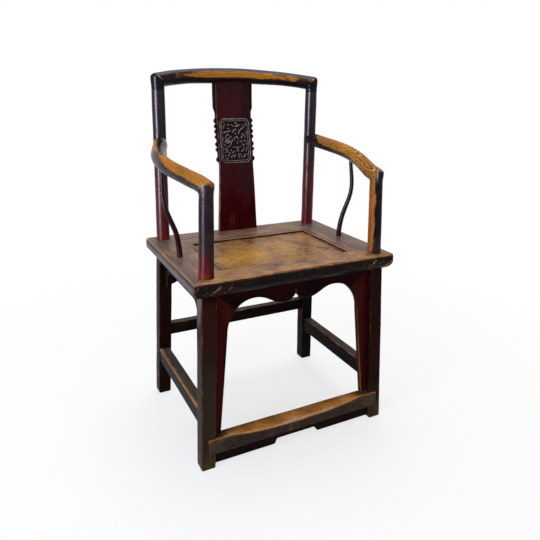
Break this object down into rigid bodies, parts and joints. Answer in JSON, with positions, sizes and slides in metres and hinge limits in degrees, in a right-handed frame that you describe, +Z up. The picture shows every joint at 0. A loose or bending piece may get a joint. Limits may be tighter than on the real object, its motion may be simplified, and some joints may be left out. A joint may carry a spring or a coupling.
{
  "type": "southern official's hat armchair",
  "caption": "Wooden armchair: bowed top rail and arms turned down onto their posts, leaning splat with a carved medallion, framed panel seat, splayed legs, aprons, stretchers and a foot rail.",
  "frame": {"origin": "on the floor, under the middle of the chair's overall width and depth", "axes": "+Z is up, -Y is the way the sitter faces, +X is towards the sitter's left hand"},
  "size_m": [0.6158, 0.4888, 1.0185],
  "materials": {
    "dark_lacquer": "old near-black brown lacquer, rubbed to brown wood on the arrises",
    "red_lacquer": "dark crimson lacquer, satin",
    "worn_elm": "golden elm worn bare and polished by hands and feet, with black lacquer left where hands don't reach",
    "seat_elm": "greyish brown elm with a dull old polish",
    "panel_elm": "tan elm board polished by use",
    "raw_elm": "unfinished elm under the seat"
  },
  "bodies": {
    "root": {"top_rail": "worn_elm", "back_leg_left": "dark_lacquer", "back_leg_right": "dark_lacquer", "front_leg_left": "dark_lacquer", "front_leg_right": "dark_lacquer", "arm_left": "worn_elm", "arm_right": "worn_elm", "arm_spindle_left": "red_lacquer", "arm_spindle_right": "red_lacquer", "back_splat": "red_lacquer", "seat_frame_front": "seat_elm", "seat_frame_back": "seat_elm", "seat_frame_left": "seat_elm", "seat_frame_right": "seat_elm", "seat_panel": "panel_elm", "seat_strip_back": "seat_elm", "seat_strip_left": "seat_elm", "seat_strip_right": "seat_elm", "seat_batten_left": "raw_elm", "seat_batten_right": "raw_elm", "front_apron": "red_lacquer", "front_spandrel_left": "red_lacquer", "front_spandrel_right": "red_lacquer", "side_apron_left": "red_lacquer", "side_apron_right": "red_lacquer", "back_apron": "red_lacquer", "foot_rail": "worn_elm", "foot_rail_apron": "dark_lacquer", "side_stretcher_left": "dark_lacquer", "side_stretcher_right": "dark_lacquer", "back_stretcher": "dark_lacquer"}
  },
  "joints": []
}
